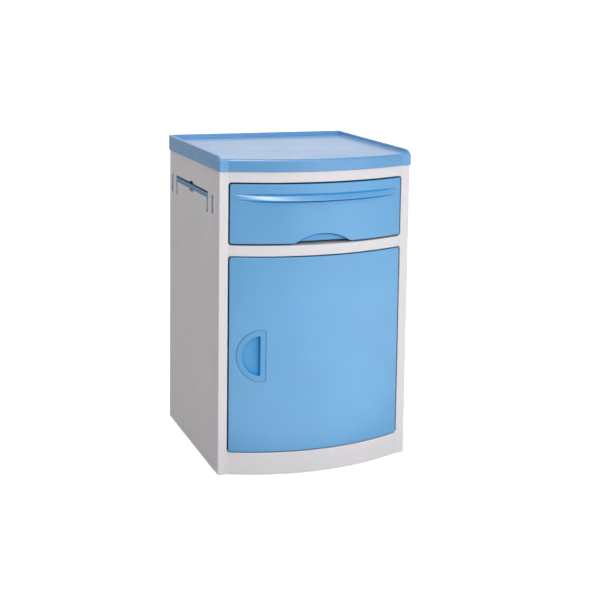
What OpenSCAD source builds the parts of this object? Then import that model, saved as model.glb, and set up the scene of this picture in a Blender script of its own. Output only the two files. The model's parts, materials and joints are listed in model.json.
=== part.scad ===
// Bedside cabinet: a moulded carcass with a bowed front, one drawer, one door,
// and a folding towel rail and two folding hooks in each side.
// Origin: on the floor, under the centre of the top panel. +X right, +Y back, +Z up.
// All sizes are in millimetres.

/* [Overall] */
// Width over the top panel
overall_w = 485; // [475:1:500]
// Depth of the top panel, back edge to the crown of the bowed front
overall_d = 504; // [490:1:520]
// Height to the top of the raised rim
overall_h = 760; // [745:1:775]

/* [Bowed front] */
// How far the front bows out between the stiles
front_bulge = 48; // [40:1:54]
// Width of each flat stile beside the openings
stile_w = 22; // [20:1:26]
// Depth of the front frame behind its flat stiles
frame_depth = 30; // [26:1:34]
// Thickness of the door, the drawer front and the frame's rails
front_t = 20; // [18:1:22]
// Clear gap around the door and the drawer front
front_gap = 2.5; // [2.5:0.5:4]

/* [Openings] */
// Bottom of the door opening
door_z0 = 54.5; // [50:0.5:60]
// Top of the door opening
door_z1 = 523.5; // [515:0.5:528]
// Bottom of the drawer opening
drawer_z0 = 548.5; // [545:0.5:552]
// Top of the drawer opening
drawer_z1 = 695.5; // [690:0.5:700]
// Corner radius of both openings
opening_r = 6; // [4:1:8]

/* [Top panel] */
// Height of the top panel's outside wall, rim included
top_h = 39; // [36:1:44]
// Height of the raised rim above the tray floor
rim_h = 10; // [8:1:12]
// Thickness of the raised rim
rim_t = 6.5; // [5:0.5:8]
// How far the top stands past the carcass at the sides and back
top_over = 2.5; // [1:0.5:3]
// How far the top stands past the bowed front
top_front_over = 3.5; // [3:0.5:5]

/* [Towel rail and hooks] */
// Length of the towel rail's bar
rail_len = 287; // [270:1:300]
// Height of the folded towel rail
rail_h = 43; // [40:1:46]
// Thickness of the rail's bar and width of its legs
rail_w = 9; // [8.5:0.5:11]
// Top of the folded towel rail
rail_top = 657.5; // [650:0.5:665]
// Distance of each hook from the middle of the rail
hook_offset = 181; // [178:1:185]
// Width of a hook
hook_w = 9; // [8:0.5:10]

/* [Moulding] */
// Wall of the shell mouldings
wall = 3; // [2.5:0.5:3.5]
// Overall thickness of a side panel, without its liner
side_t = 18; // [17:0.5:19]
// Thickness of a liner, the back and the shelves
sheet = 3; // [2.5:0.5:3.5]
// How far the foot glides hold the mouldings off the floor
glide_h = 2.5; // [2.5:0.5:4]

/* [Hidden] */
$fn = 48;

WHITE = [0.90, 0.90, 0.92];
BLUE = [0.42, 0.68, 0.89];
STEEL = [0.72, 0.73, 0.75];
DARK = [0.15, 0.15, 0.16];

eps = 0.01;          // overlap where two cuts meet
curve_fn = 180;      // fineness of the large front curve
play = 0.05;         // radial play of a pin or a screw in its hole
far = 2 * overall_d; // longer than anything it cuts

// Carcass planes
body_x = overall_w / 2 - top_over;               // outside of a side panel
back_y = overall_d / 2 - top_over;               // back of the carcass
crown_y = -overall_d / 2 + top_front_over;       // front of the frame at its crown
flat_y = crown_y + front_bulge;                  // front of the flat stiles
arc_x = body_x - stile_w;                        // where the bow meets a stile
side_y0 = flat_y + frame_depth;                  // front edge of a side panel
back_t = 4;                                      // thickness of the back panel
side_y1 = back_y - back_t;                       // back edge of a side panel
top_z0 = overall_h - top_h;                      // underside of the top's wall
tray_z = overall_h - rim_h;                      // tray floor
liner_x = body_x - side_t - sheet;               // inside face of a liner
base_z = door_z0 + 1.5;                          // cupboard floor
divider_z = (door_z1 + drawer_z0) / 2;           // underside of the divider

// The bow is part of a circle that stands upright
arc_r = (arc_x * arc_x + front_bulge * front_bulge) / (2 * front_bulge);
arc_cy = crown_y + arc_r;
function arc_y(x, r) = arc_cy - sqrt(r * r - x * x);
back_r = arc_r - front_t;                        // back of the door and the drawer front
mid_ledge = 22;                                  // how far the mid rail's top runs back

// Door pivot, on the right
pivot_r = arc_r - 8;
pivot_x = arc_x - 15.5;
pivot_y = arc_y(pivot_x, pivot_r);
pin_r = 3;
pin_engage = 18;                                 // length of pin in the door and in the frame
bush_r = 5;

// Side furniture
side_mid_y = (side_y0 + side_y1) / 2;            // middle of the towel rail
rail_pivot_z = rail_top - rail_h + rail_w / 2;
rail_in = 5.5;                                   // pivot depth below the side's face
groove_d = 12;                                   // depth of the rail's groove
groove_play = 1;                                 // gap beside the legs
finger_gap = 4.5;                                // gap above the bar
finger_r = 14;                                   // half height of the finger scoop
finger_w = 46;                                   // length of the finger scoop
hook_top = rail_top - 6;
hook_pivot_z = rail_top - 35;
hook_pivot_in = 7;                               // pivot depth below the side's face
slot_w = hook_w + 3;
slot_d = 15;
slot_z0 = rail_top - 43;
slot_z1 = rail_top + 2;
side_pin_r = 2;                                  // pins of the rail and the hooks

// Drawer
drawer_x = arc_x - front_gap;                    // half width of the drawer front
drawer_f0 = drawer_z0 + front_gap;
drawer_f1 = drawer_z1 - front_gap;
ridge_z0 = drawer_z0 + 106;
ridge_z1 = ridge_z0 + 14;
ridge_out = 4;                                   // ridge height at the crown
strip_back = 1;                                  // set-back of the strip above the ridge
arch_half = 72;                                  // half width of the finger arch
arch_h = 24;
arch_r = (arch_half * arch_half + arch_h * arch_h) / (2 * arch_h);
arch_z = drawer_f0 + arch_h - arch_r;            // centre of the arch's circle
scoop_d = 13;                                    // depth of the finger scoop
tub_x = liner_x - 17;
tub_z0 = drawer_f0 + 5;
tub_z1 = tub_z0 + 112;
tub_gap = 14;                                    // room behind the tub
tub_y1 = side_y1 - tub_gap;
tub_r = back_r - 0.5;
runner_z = tub_z0 + 52;
runner_h = 24;
runner_y0 = side_y0 + 4;
runner_y1 = side_y1 - 10;
glide_strip_h = 12;

// Door
door_x = arc_x - front_gap;
door_f0 = door_z0 + front_gap;
door_f1 = door_z1 - front_gap;
handle_z = 288;
handle_x = -141;
handle_turn = asin(handle_x / arc_r);            // turns the handle's axis onto the bow
handle_r = 62;
handle_cut = 7;                                  // straight side, from the circle's centre
pocket_r = 48;
pocket_cut = -6;
pocket_depth = 14;
pocket_slope = 14;                               // angle of the pocket's floor
handle_gap = 0.4;
catch_x = -165;
catch_turn = asin(catch_x / back_r);
strike_t = 1.5;                                  // front of the strike plate, from the door's back
strike_gap = 0.3;                                // room for the bow behind the flat plate

// ---------------------------------------------------------------- shapes

// Corner points of a rounded rectangle that is centred on the origin
function rounded_points(w, h, r, steps = 5) = [
    for (c = [[1, 1, 0], [-1, 1, 90], [-1, -1, 180], [1, -1, 270]])
        for (i = [0 : steps])
            [c[0] * (w / 2 - r) + r * cos(c[2] + 90 * i / steps),
             c[1] * (h / 2 - r) + r * sin(c[2] + 90 * i / steps)]
];

module rounded_rect(w, h, r) {
    polygon(rounded_points(w, h, r));
}

// Box between two corners
module block(a, b) {
    translate(a) cube(b - a);
}

// Stands a 2D shape up in the XZ plane and runs it from y0 to y1
module along_y(y0, y1) {
    translate([0, y1, 0]) rotate([90, 0, 0]) linear_extrude(y1 - y0) children();
}

// Stands a 2D shape up in the YZ plane and runs it from x0 to x1
module along_x(x0, x1) {
    translate([x0, 0, 0]) rotate([90, 0, 90]) linear_extrude(x1 - x0) children();
}

module arc_disc(r, z0, z1) {
    translate([0, arc_cy, z0]) cylinder(r = r, h = z1 - z0, $fn = curve_fn);
}

// Curved slab between two radii of the bow, two x planes and two heights
module curved_slab(r_out, r_in, x0, x1, z0, z1) {
    intersection() {
        difference() {
            arc_disc(r_out, z0, z1);
            arc_disc(r_in, z0 - 1, z1 + 1);
        }
        block([x0, -far, z0 - 1], [x1, side_y0 + frame_depth, z1 + 1]);
    }
}

// Puts children on the bow: x runs along the tangent, -y points out of the front
module on_bow(turn, r) {
    translate([0, arc_cy, 0]) rotate([0, 0, turn]) translate([0, -r, 0]) children();
}

module mirrored_x() {
    children();
    mirror([1, 0, 0]) children();
}

// Pan-head screw with a cross recess; its head rests on z = 0 and its shank points down
module screw(shank_r, length, head_r, head_h) {
    recess = head_h * 0.6;
    difference() {
        union() {
            translate([0, 0, -length]) cylinder(r = shank_r, h = length + eps);
            cylinder(r = head_r, h = head_h);
        }
        for (turn = [0, 90])
            rotate([0, 0, turn])
                translate([-head_r * 0.6, -head_r * 0.12, head_h - recess])
                    cube([head_r * 1.2, head_r * 0.24, head_h]);
    }
}

// ---------------------------------------------------------------- carcass

// Plan of the top panel, stepped in by inset
module top_plan(inset) {
    hw = overall_w / 2 - inset;
    y0 = flat_y - top_front_over + inset;
    y1 = overall_d / 2 - inset;
    translate([0, (y0 + y1) / 2]) rounded_rect(2 * hw, y1 - y0, 4);
    intersection() {
        translate([0, arc_cy]) circle(arc_r + top_front_over - inset, $fn = curve_fn);
        translate([-arc_x, -far / 2]) square([2 * arc_x, far / 2 + y0 + 1]);
    }
}

// Tray top: open at the front, with a raised rim along the sides and back
module top_panel() {
    rim_x = overall_w / 2 - rim_t;
    rim_y = overall_d / 2 - rim_t;
    rim_end = flat_y + 4;
    color(BLUE) difference() {
        union() {
            translate([0, 0, top_z0]) linear_extrude(tray_z - top_z0) top_plan(0);
            difference() {
                translate([0, 0, tray_z - eps]) linear_extrude(rim_h + eps) top_plan(0);
                block([-rim_x, -far, tray_z - 1], [rim_x, rim_y, overall_h + 1]);
                block([-far, -far, tray_z - 1], [far, rim_end + rim_h, overall_h + 1]);
            }
            mirrored_x() intersection() {
                along_x(rim_x, overall_w / 2)
                    translate([rim_end + rim_h, tray_z]) circle(rim_h);
                block([0, rim_end, tray_z - eps], [far, rim_end + rim_h, overall_h]);
            }
        }
        difference() {
            translate([0, 0, top_z0 - 1])
                linear_extrude(tray_z - wall - top_z0 + 1) top_plan(wall);
            // blocks that take the screws from the side panels' tongues
            mirrored_x() on_left() for (y = top_screw_y)
                block([-1, y - 8, top_z0], [tongue_x - 0.2, y + 8, tray_z]);
        }
        mirrored_x() on_left() translate([tongue_x - 6, 0, 0])
            at_top_screws() cylinder(r = top_screw_r + play, h = far / 20);
    }
}

// Bosses inside the frame that hold the hinge pins
module hinge_boss(z0, z1) {
    translate([pivot_x, pivot_y, z0]) cylinder(r = pin_r + 3.5, h = z1 - z0);
}

// Cut that leaves a rail of the frame as a channel, open at its back
module rail_channel(z0, z1) {
    curved_slab(arc_r - wall - 1, arc_r - far / 3, -arc_x + wall, arc_x - wall, z0 + wall, z1 - wall);
}

module front_frame() {
    openings = [[drawer_z0, drawer_z1], [door_z0, door_z1]];
    color(WHITE) difference() {
        union() {
            difference() {
                union() {
                    curved_slab(arc_r, back_r, -arc_x - 1, arc_x + 1, glide_h, top_z0);
                    mirrored_x() block([arc_x, flat_y, glide_h], [body_x, side_y0, top_z0]);
                    // ledge behind the mid rail, level with its top
                    curved_slab(back_r + 1, back_r - mid_ledge, -arc_x + 40, arc_x - 40,
                                drawer_z0 - wall, drawer_z0 + 1);
                }
                for (o = openings)
                    along_y(-far / 2, side_y0 + 1)
                        translate([0, (o[0] + o[1]) / 2])
                            rounded_rect(2 * arc_x, o[1] - o[0], opening_r);
                rail_channel(glide_h - 2 * wall, door_z0);
                rail_channel(door_z1, drawer_z0);
                rail_channel(drawer_z1, top_z0);
                mirrored_x()
                    block([arc_x + wall, flat_y + wall + 1, glide_h + wall],
                          [body_x - wall, far, top_z0 - wall]);
            }
            hinge_boss(door_z0 - wall - pin_engage, door_z0 - eps);
            hinge_boss(door_z1 + eps, drawer_z0 - eps);
        }
        translate([pivot_x, pivot_y, door_z0 - pin_engage])
            cylinder(r = pin_r + play, h = pin_engage + 1);
        translate([pivot_x, pivot_y, door_z1 - 1])
            cylinder(r = pin_r + play, h = pin_engage + 1);
    }
}

// Rail groove, finger scoop and hook slots, cut inwards from the plane x = 0
module side_recess(depth_play = 0) {
    leg_y = rail_len / 2 - rail_w / 2;
    leg_w = rail_w + 2 * groove_play;
    z0 = rail_pivot_z - rail_w / 2 - 2;
    z1 = rail_top + finger_gap;
    bar_z0 = rail_top - rail_w - 1.5;
    run = rail_len + 2 * groove_play;
    d = depth_play;
    along_x(-1, groove_d + d) offset_box(side_mid_y - run / 2, bar_z0, side_mid_y + run / 2, z1, d);
    for (s = [-1, 1])
        along_x(-1, groove_d + d)
            offset_box(side_mid_y + s * leg_y - leg_w / 2, z0,
                       side_mid_y + s * leg_y + leg_w / 2, z1, d);
    intersection() {
        along_x(-1, groove_d + d)
            translate([side_mid_y, rail_top - rail_w / 2])
                rounded_rect(finger_w + 2 * d, 2 * finger_r + 2 * d, finger_r + d - eps);
        // the scoop's lower half is a ramp
        translate([0, side_mid_y + finger_w, 0]) rotate([90, 0, 0]) linear_extrude(2 * finger_w)
            polygon([[-2, bar_z0 - 9 - 2 * d], [d / 2, bar_z0 - 9 - 2 * d], [groove_d + d + 1, bar_z0 - 1 - d],
                     [groove_d + d + 1, z1 + 2 * finger_r], [-2, z1 + 2 * finger_r]]);
    }
    for (s = [-1, 1])
        along_x(-1, slot_d + d) {
            offset_box(side_mid_y + s * hook_offset - slot_w / 2, slot_z0,
                       side_mid_y + s * hook_offset + slot_w / 2, slot_z1, d);
        }
}

// Rectangle between two corners, grown by d on every side
module offset_box(x0, y0, x1, y1, d) {
    translate([x0 - d, y0 - d]) square([x1 - x0 + 2 * d, y1 - y0 + 2 * d]);
}

// Places children at each rail leg (y along the cabinet's depth)
module at_rail_legs() {
    for (s = [-1, 1])
        translate([0, side_mid_y + s * (rail_len - rail_w) / 2, rail_pivot_z]) children();
}

module at_hooks() {
    for (s = [-1, 1])
        translate([0, side_mid_y + s * hook_offset, hook_pivot_z]) children();
}

// Pin along y, centred on the origin
module side_pin(r, length) {
    rotate([90, 0, 0]) cylinder(r = r, h = length, center = true);
}

back_screw_z = [40, 200, 360, 520, 690];
boss_r = 4.5;
screw_r = 1.9;
screw_len = 14;
screw_head_r = 4;
screw_head_h = 2.4;
back_screw_x = body_x - side_t / 2;
tongue_x = 8;                                    // depth of the tongue that locates the top
top_screw_r = 1.9;
top_screw_y = [side_y0 + 50, side_y1 - 50];

// Top panel's screws, in the side panel's frame with z along x
module at_top_screws() {
    for (y = top_screw_y) translate([0, y, top_z0 + 6]) rotate([0, 90, 0]) children();
}

// Side panel on the left, with its outside face at x = 0 and its inside towards +x
module side_moulding() {
    rim = 4;
    rib_z = [170, 330, 490];
    difference() {
        union() {
            difference() {
                block([0, side_y0, glide_h], [side_t, side_y1, top_z0]);
                block([wall + 0.5, side_y0 + rim, glide_h + rim],
                      [far, side_y1 - rim, top_z0 - rim]);
            }
            for (z = rib_z)
                block([wall, side_y0 + 1, z], [side_t - 3, side_y1 - 1, z + wall]);
            intersection() {
                side_recess(wall - eps);
                block([wall, side_y0 + 1, glide_h], [side_t, side_y1 - 1, top_z0]);
            }
            for (z = back_screw_z)
                translate([side_t / 2, side_y1 - rim, z])
                    rotate([90, 0, 0]) cylinder(r = boss_r, h = screw_len - rim);
            block([tongue_x, side_y0 + 10, top_z0 - rim], [tongue_x + wall, side_y1 - 10, top_z0 + 12]);
            translate([wall - side_t, 0, 0]) {
                at_runner_screws() cylinder(r = 4, h = side_t - wall);
                at_pegs() cylinder(r = peg_r + 2.5, h = side_t - wall);
            }
        }
        side_recess();
        translate([-6, 0, 0]) {
            at_runner_screws() cylinder(r = runner_screw_r + play, h = 10);
            at_pegs() cylinder(r = peg_r + play, h = 10);
        }
        translate([tongue_x - 1, 0, 0]) at_top_screws() cylinder(r = top_screw_r + 0.2, h = wall + 2);
        translate([rail_in, 0, 0]) at_rail_legs() side_pin(side_pin_r + play, rail_w + 10);
        translate([hook_pivot_in, 0, 0]) at_hooks() side_pin(side_pin_r + play, slot_w + 5);
        for (z = back_screw_z)
            translate([side_t / 2, side_y1 + 1, z])
                rotate([90, 0, 0]) cylinder(r = screw_r + play, h = screw_len + 1);
    }
}

module on_left() {
    translate([-body_x, 0, 0]) children();
}

module on_right() {
    mirror([1, 0, 0]) on_left() children();
}

// Liner on the left, in the side panel's frame, with holes for the shelf pegs and runner screws
module liner() {
    difference() {
        union() {
            block([side_t, side_y0, base_z], [side_t + sheet, side_y1, top_z0]);
            block([side_t + wall - eps, side_y0 + 10, divider_z - 6],
                  [side_t + 9, side_y1 - 10, divider_z]);
        }
        at_pegs() cylinder(r = peg_r + play, h = far, center = true);
        at_runner_screws() cylinder(r = runner_screw_r + play, h = far, center = true);
    }
}

// Shelf pegs, in the side panel's frame with z along x
shelf_z = 292;
shelf_y = [side_y0 + 50, side_y1 - 50];
peg_r = 3.5;
module at_pegs() {
    for (y = shelf_y) translate([side_t, y, shelf_z - peg_r]) rotate([0, 90, 0]) children();
}

runner_screw_r = 1.5;
runner_sink = 2;                                 // depth of the screw heads' counterbores
runner_screw_y = [runner_y0 + 30, (runner_y0 + runner_y1) / 2, runner_y1 - 30];
module at_runner_screws() {
    for (y = runner_screw_y) translate([side_t, y, runner_z]) rotate([0, 90, 0]) children();
}

module shelf_peg() {
    translate([0, 0, -5]) cylinder(r = peg_r, h = 20);
    translate([0, 0, sheet + play]) cylinder(r = peg_r + 1.5, h = 1.2);
}

module back_panel() {
    hw = body_x - 1.5;
    z0 = glide_h + 2;
    field_x = 104;
    color(WHITE) difference() {
        block([-hw, side_y1, z0], [hw, back_y, top_z0]);
        // shallow field between raised beads
        for (z = [90, 245, 400, 555])
            along_y(back_y - 1.2, back_y + 1)
                for (s = [-1, 1]) translate([s * field_x, z + 60]) rounded_rect(190, 130, 10);
        for (z = back_screw_z, s = [-1, 1])
            translate([s * back_screw_x, back_y + 1, z]) rotate([90, 0, 0]) {
                cylinder(r = screw_r + 0.3, h = far);
                cylinder(r = screw_head_r + 0.4, h = screw_head_h + 1.2);
            }
    }
}

// Plan of a floor that follows the bow at its front, stepped in by inset
module floor_plan(hw, inset = 0) {
    y1 = side_y1 - 0.5 - inset;
    translate([-hw + inset, side_y0 + 0.5 + inset]) square([2 * (hw - inset), y1 - side_y0 - 0.5 - inset]);
    intersection() {
        translate([0, arc_cy]) circle(back_r - 0.5 - inset, $fn = curve_fn);
        translate([-arc_x + 4 + inset, -far / 2]) square([2 * (arc_x - 4 - inset), far / 2]);
    }
}

// Cupboard floor with a skirt and four corner feet; the liners stand on its edges
module base_panel() {
    hw = body_x - side_t - 0.3;
    y0 = side_y0 + 2;
    y1 = side_y1 - 0.5;
    foot = 44;
    color(WHITE) difference() {
        union() {
            difference() {
                translate([0, 0, glide_h + 2]) linear_extrude(base_z - glide_h - 2) floor_plan(hw);
                translate([0, 0, -1]) linear_extrude(base_z - sheet + 1) floor_plan(hw, wall);
            }
            for (sx = [-1, 1], y = [y0 + 1, y1 - foot - 1])
                translate([sx * (hw - foot / 2 - 1) - foot / 2, y, glide_h])
                    difference() {
                        cube([foot, foot, base_z - glide_h - 1]);
                        translate([wall, wall, wall])
                            cube([foot - 2 * wall, foot - 2 * wall, base_z]);
                    }
        }
        at_feet() cylinder(r = screw_r + play, h = 2 * wall + glide_h, center = true);
    }
}

module at_feet() {
    hw = body_x - side_t - 0.3;
    for (sx = [-1, 1], y = [side_y0 + 25, side_y1 - 23.5])
        translate([sx * (hw - 23), y, glide_h]) children();
}

glide_seat = 0.8;                                // rubber left under the screw's head
module foot_glide() {
    difference() {
        translate([0, 0, -glide_h]) cylinder(r = 15, h = glide_h);
        translate([0, 0, -far / 2]) cylinder(r = screw_r + play, h = far);
        translate([0, 0, -glide_h - 1]) cylinder(r = screw_head_r + 0.5, h = glide_h + 1 - glide_seat);
    }
}

// Floor of the drawer space and ceiling of the cupboard
module divider_panel() {
    hw = liner_x - 0.5;
    color(WHITE) difference() {
        union() {
            translate([0, 0, divider_z]) linear_extrude(sheet) floor_plan(hw);
            block([-hw, side_y1 - 0.5 - wall, divider_z + 1], [hw, side_y1 - 0.5, divider_z + 12]);
        }
        catch_frame() for (s = [-1, 1])
            translate([s * catch_screw_x, catch_screw_y, divider_z - 1]) cylinder(r = 1.5 + play, h = 12);
    }
}

module cupboard_shelf() {
    hw = liner_x - 3;
    y0 = side_y0 + 18;
    y1 = side_y1 - 3;
    lip = 14;
    color(WHITE) {
        block([-hw, y0, shelf_z], [hw, y1, shelf_z + sheet]);
        block([-hw, y0, shelf_z - lip], [hw, y0 + wall, shelf_z + eps]);
        block([-hw, y1 - wall, shelf_z - lip], [hw, y1, shelf_z + eps]);
    }
}

// Runner channel on the left, in the side panel's frame
module drawer_runner() {
    x0 = side_t + sheet;
    x1 = x0 + 12;
    slot = glide_strip_h + 2;
    difference() {
        block([x0, runner_y0, runner_z - runner_h / 2], [x1, runner_y1, runner_z + runner_h / 2]);
        block([x0 + wall, runner_y0 - 1, runner_z - slot / 2],
              [x1 + 1, runner_y1 - 4, runner_z + slot / 2]);
        at_runner_screws() {
            cylinder(r = runner_screw_r + play, h = far, center = true);
            translate([0, 0, sheet + wall - runner_sink]) cylinder(r = 3.4, h = runner_sink + 1);
        }
    }
}

// The head is sunk below the channel's floor, clear of the slide strip
module runner_screw() {
    translate([0, 0, sheet + wall - runner_sink]) screw(runner_screw_r, 8, 3, 1.6);
}

// Rubber buffers on the back panel that stop the drawer
module drawer_buffers() {
    color(DARK) for (s = [-1, 1])
        translate([s * 150, side_y1, tub_z0 + 60]) rotate([90, 0, 0]) {
            cylinder(r = 8, h = 4);
            cylinder(r = 6, h = tub_gap - 0.2);
        }
}

// Magnetic catch, hung from the divider behind the door's free edge
catch_w = 42;
catch_d = 20;
catch_z0 = door_f1 - 17;
catch_screw_x = 15;
catch_screw_y = 15;
module catch_frame() {
    on_bow(catch_turn, back_r - strike_t - 0.3) children();
}

module catch_housing() {
    z1 = divider_z;
    color(WHITE) catch_frame() difference() {
        union() {
            block([-catch_w / 2, 0, catch_z0], [catch_w / 2, catch_d, z1 - 3]);
            block([-catch_w / 2, 6, z1 - 5], [catch_w / 2, catch_d + 4, z1 - play]);
        }
        block([-14, -1, catch_z0 + 3], [14, 12, catch_z0 + 13]);
        for (s = [-1, 1])
            translate([s * catch_screw_x, catch_screw_y, catch_z0 - 1]) {
                cylinder(r = 1.5 + play, h = far);
                cylinder(r = 3.4, h = z1 - catch_z0 - 3);
            }
    }
}

module catch_magnet() {
    color(DARK) catch_frame() block([-13.8, 0.4, catch_z0 + 3.2], [13.8, 11.8, catch_z0 + 12.8]);
}

module catch_screws() {
    color(STEEL) catch_frame() for (s = [-1, 1])
        translate([s * catch_screw_x, catch_screw_y, divider_z - 4])
            mirror([0, 0, 1]) screw(1.5, 6.5, 3, 1.6);
}

module hinge_pin(z0) {
    color(STEEL) translate([pivot_x, pivot_y, z0]) cylinder(r = pin_r, h = 2 * pin_engage - 1);
}

module back_panel_screws() {
    color(STEEL) for (z = back_screw_z, s = [-1, 1])
        translate([s * back_screw_x, back_y - screw_head_h - 0.2, z])
            rotate([-90, 0, 0]) screw(screw_r, screw_len - 3, screw_head_r, screw_head_h);
}

// Screws that hold the top to the side panels' tongues, driven from inside
module top_panel_screws() {
    color(STEEL) mirrored_x() on_left()
        translate([tongue_x + wall + play, 0, 0]) at_top_screws() screw(top_screw_r, wall + 5, 3.5, 2);
}

module glide_screws() {
    color(STEEL) at_feet() translate([0, 0, -glide_seat]) mirror([0, 0, 1])
        screw(screw_r, 6, screw_head_r, 1.6);
}

// ---------------------------------------------------------------- drawer

// Hollow front: skin, side returns and screw bosses, without its inside
module front_shell(hw, z0, z1) {
    h = z1 - z0;
    intersection() {
        difference() {
            curved_slab(arc_r, back_r, -hw - 1, hw + 1, z0 - 1, z1 + 1);
            intersection() {
                arc_disc(arc_r - wall, z0, z1);
                along_y(-far / 2, side_y0)
                    translate([0, z0 + h / 2]) rounded_rect(2 * (hw - wall), h - 2 * wall, 2);
            }
        }
        along_y(-far / 2, side_y0)
            translate([0, z0 + h / 2]) rounded_rect(2 * hw, h, opening_r - front_gap / 2);
    }
}

module bow_boss(turn, z, r) {
    on_bow(turn, arc_r - wall + 0.5)
        translate([0, 0, z]) rotate([-90, 0, 0])
            cylinder(r = r, h = front_t - 2 * wall + 0.4);
}

module bow_hole(turn, z, r, depth) {
    on_bow(turn, back_r - 6)
        translate([0, 0, z]) rotate([90, 0, 0]) cylinder(r = r, h = depth + 6);
}

drawer_screw_turn = [-16, -10, 10, 16];
drawer_screw_z = tub_z0 + 70;
front_screw_r = 1.9;

module drawer_front() {
    ridge_half = drawer_x - 8;
    ridge_sag = arc_r - sqrt(arc_r * arc_r - ridge_half * ridge_half) + ridge_out;
    ridge_r = (ridge_half * ridge_half + ridge_sag * ridge_sag) / (2 * ridge_sag);
    color(BLUE) difference() {
        union() {
            front_shell(drawer_x, drawer_f0, drawer_f1);
            // ridge: an outer bow of tighter radius, so that it fades out at both ends
            intersection() {
                translate([0, crown_y - ridge_out + ridge_r, ridge_z0])
                    cylinder(r1 = ridge_r, r2 = ridge_r - ridge_out + 1, h = ridge_z1 - ridge_z0,
                             $fn = curve_fn);
                curved_slab(arc_r + far / 4, arc_r - 1, -ridge_half, ridge_half, ridge_z0, ridge_z1);
            }
            // housing of the finger scoop
            intersection() {
                translate([0, 0, arch_z]) rotate([90, 0, 0])
                    cylinder(r = arch_r + wall, h = far, $fn = curve_fn);
                curved_slab(arc_r - 1, arc_r - scoop_d - wall, -far, far,
                            drawer_f0, drawer_f0 + arch_h + wall);
            }
            for (t = drawer_screw_turn) bow_boss(t, drawer_screw_z, 5);
        }
        intersection() {
            translate([0, 0, arch_z]) rotate([90, 0, 0])
                cylinder(r = arch_r, h = far, $fn = curve_fn);
            curved_slab(arc_r + 20, arc_r - scoop_d, -far, far, drawer_f0 - 1, drawer_f0 + arch_h + 1);
        }
        // the strip above the ridge is set back
        curved_slab(arc_r + 1, arc_r - strip_back, -far, far, ridge_z1, drawer_f1 + 1);
        // the scoop's back stops short of the bottom edge
        block([-arch_half + 8, -far, drawer_f0 - 1], [arch_half - 8, far, drawer_f0 + 5]);
        for (t = drawer_screw_turn) bow_hole(t, drawer_screw_z, front_screw_r + play, 14);
    }
}

module drawer_front_backing() {
    inset = wall + 0.3;
    h = drawer_f1 - drawer_f0;
    color(BLUE) difference() {
        intersection() {
            curved_slab(back_r + sheet - 0.2, back_r, -drawer_x, drawer_x, drawer_f0, drawer_f1);
            along_y(-far / 2, side_y0)
                translate([0, drawer_f0 + h / 2]) rounded_rect(2 * (drawer_x - inset), h - 2 * inset, 2);
        }
        block([-arch_half, -far, drawer_f0 - 1], [arch_half, far, drawer_f0 + 6]);
        for (t = drawer_screw_turn) bow_hole(t, drawer_screw_z, front_screw_r + 0.2, far);
    }
}

module drawer_tub() {
    lip = 4;
    color(WHITE) difference() {
        union() {
            intersection() {
                block([-tub_x, -far / 2, tub_z0], [tub_x, tub_y1, tub_z1]);
                arc_disc(tub_r, tub_z0 - 1, tub_z1 + 1);
            }
            intersection() {
                block([-tub_x - lip, -far / 2, tub_z1 - wall], [tub_x + lip, tub_y1 + lip, tub_z1]);
                arc_disc(tub_r, tub_z0 - 1, tub_z1 + 1);
            }
        }
        intersection() {
            block([-tub_x + wall, -far / 2, tub_z0 + wall], [tub_x - wall, tub_y1 - wall, tub_z1 + 1]);
            arc_disc(tub_r - wall, tub_z0, tub_z1 + 2);
        }
        for (t = drawer_screw_turn) bow_hole(t, drawer_screw_z, front_screw_r + 0.2, 20);
        glide_screw_holes();
    }
}

glide_y0 = runner_y0 - 2;
glide_y1 = tub_y1 - 4;
glide_screw_y = [glide_y0 + 40, (glide_y0 + glide_y1) / 2, glide_y1 - 40];
module glide_screw_holes() {
    for (y = glide_screw_y)
        translate([0, y, runner_z]) rotate([0, 90, 0]) cylinder(r = 1.5 + play, h = far, center = true);
}

// Slide strip on the left wall of the tub
module drawer_glide() {
    x1 = tub_x + 0.2;
    x0 = liner_x - wall - 0.8;
    difference() {
        block([-x0, glide_y0, runner_z - glide_strip_h / 2], [-x1, glide_y1, runner_z + glide_strip_h / 2]);
        glide_screw_holes();
    }
}

module drawer_front_screws() {
    color(STEEL) for (t = drawer_screw_turn)
        on_bow(t, tub_r - wall - 0.2)
            translate([0, 0, drawer_screw_z]) rotate([-90, 0, 0]) screw(front_screw_r, 14, 4, 2);
}

module glide_strip_screws() {
    color(STEEL) mirrored_x() for (y = glide_screw_y)
        translate([-tub_x + wall + 0.1, y, runner_z]) rotate([0, 90, 0]) screw(1.5, 9, 3, 1.6);
}

// ---------------------------------------------------------------- door

// Outline of the handle: part of a circle, cut off by a straight side with rounded corners
function d_outline(r, cut, corner, steps = 28) =
    let (
        cy = sqrt((r - corner) * (r - corner) - (cut - corner) * (cut - corner)),
        a0 = atan2(cy, cut - corner)
    )
    concat(
        [for (i = [0 : 5]) let (a = a0 * i / 5) [cut - corner + corner * cos(a), cy + corner * sin(a)]],
        [for (i = [1 : steps - 1]) let (a = a0 + (360 - 2 * a0) * i / steps) [r * cos(a), r * sin(a)]],
        [for (i = [0 : 5]) let (a = -a0 + a0 * i / 5)
            [cut - corner + corner * cos(a), -cy + corner * sin(a)]]
    );

// Prism of the handle's outline, from y0 to y1 in front of the bow's surface
module handle_prism(r, cut, corner, y0, y1) {
    on_bow(handle_turn, arc_r) translate([0, 0, handle_z])
        along_y(y0, y1) polygon(d_outline(r, cut, corner));
}

door_screw_turn = [-21, 0, 21];
door_screw_z = [door_f0 + 22, door_f1 - 22];
module at_door_screws() {
    for (t = door_screw_turn, z = door_screw_z) on_bow(t, 0) translate([0, 0, z]) children();
}

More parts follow.
